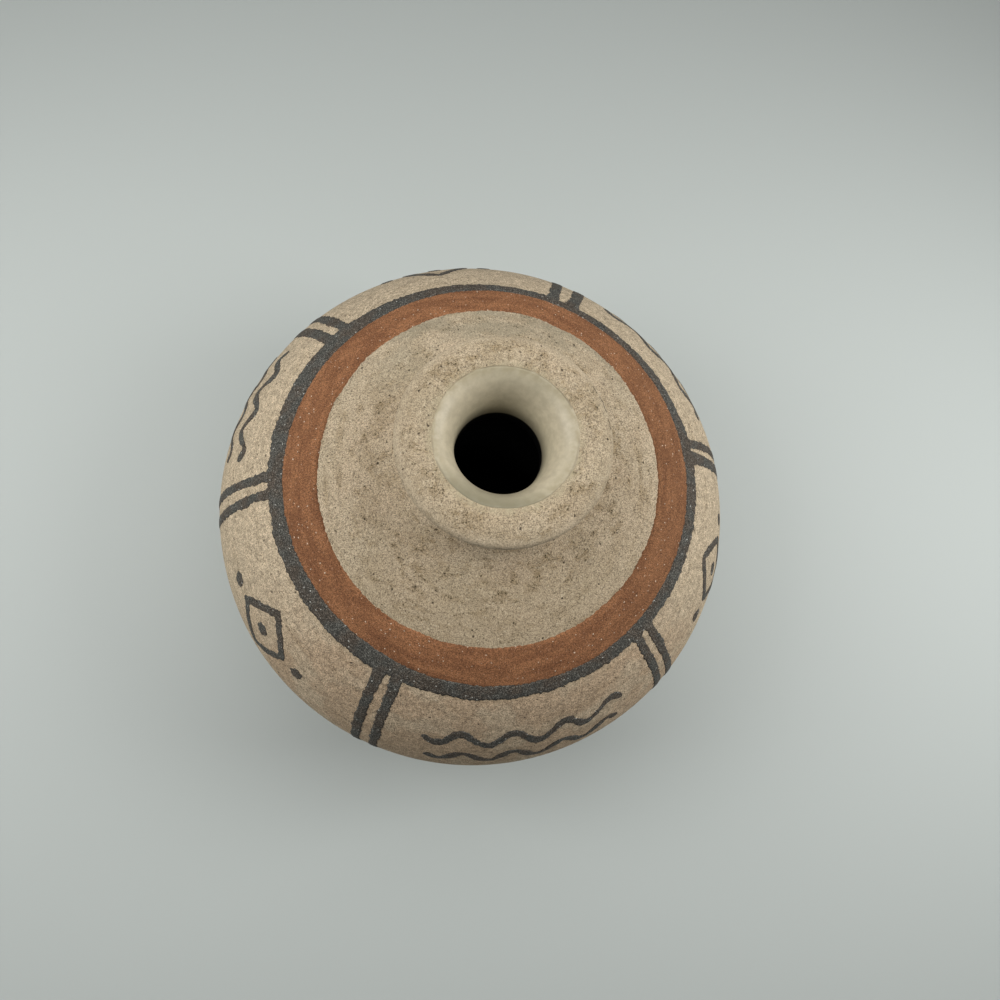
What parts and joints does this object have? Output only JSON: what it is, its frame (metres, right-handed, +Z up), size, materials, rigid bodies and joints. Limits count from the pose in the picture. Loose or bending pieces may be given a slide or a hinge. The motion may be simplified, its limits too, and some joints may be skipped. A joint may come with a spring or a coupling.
{
  "type": "ceramic pot",
  "caption": "Squat round-bellied stoneware pot with a short flared neck, a funnel mouth glazed inside, a foot ring, and terracotta and charcoal slip bands over a panelled frieze.",
  "frame": {"origin": "centre of the foot ring, on the surface that the pot stands on", "axes": "+Z up the pot's axis of turning, +X to the right and +Y away from the viewer as pictured"},
  "size_m": [0.1703, 0.17, 0.1417],
  "materials": {
    "sandy_clay": "unglazed, matte, gritty with fine sand",
    "cream_glaze": "satin cream glaze with a faint green tint",
    "terracotta_slip": "matte brushed slip with pale sand specks",
    "charcoal_slip": "matte brushed slip with ragged edges"
  },
  "bodies": {
    "root": {"bar_1_left": "charcoal_slip", "bar_1_right": "charcoal_slip", "bar_2_left": "charcoal_slip", "bar_2_right": "charcoal_slip", "bar_3_left": "charcoal_slip", "bar_3_right": "charcoal_slip", "bar_4_left": "charcoal_slip", "bar_4_right": "charcoal_slip", "bar_5_left": "charcoal_slip", "bar_5_right": "charcoal_slip", "bar_6_left": "charcoal_slip", "bar_6_right": "charcoal_slip", "clay_body": "sandy_clay", "dot_2_left": "charcoal_slip", "dot_2_middle": "charcoal_slip", "dot_2_right": "charcoal_slip", "dot_4_left": "charcoal_slip", "dot_4_middle": "charcoal_slip", "dot_4_right": "charcoal_slip", "dot_6_left": "charcoal_slip", "dot_6_middle": "charcoal_slip", "dot_6_right": "charcoal_slip", "inner_glaze": "cream_glaze", "lower_charcoal_band": "charcoal_slip", "lozenge_2": "charcoal_slip", "lozenge_4": "charcoal_slip", "lozenge_6": "charcoal_slip", "terracotta_band": "terracotta_slip", "upper_charcoal_band": "charcoal_slip", "wave_1_lower": "charcoal_slip", "wave_1_upper": "charcoal_slip", "wave_3_lower": "charcoal_slip", "wave_3_upper": "charcoal_slip", "wave_5_lower": "charcoal_slip", "wave_5_upper": "charcoal_slip"}
  },
  "joints": []
}
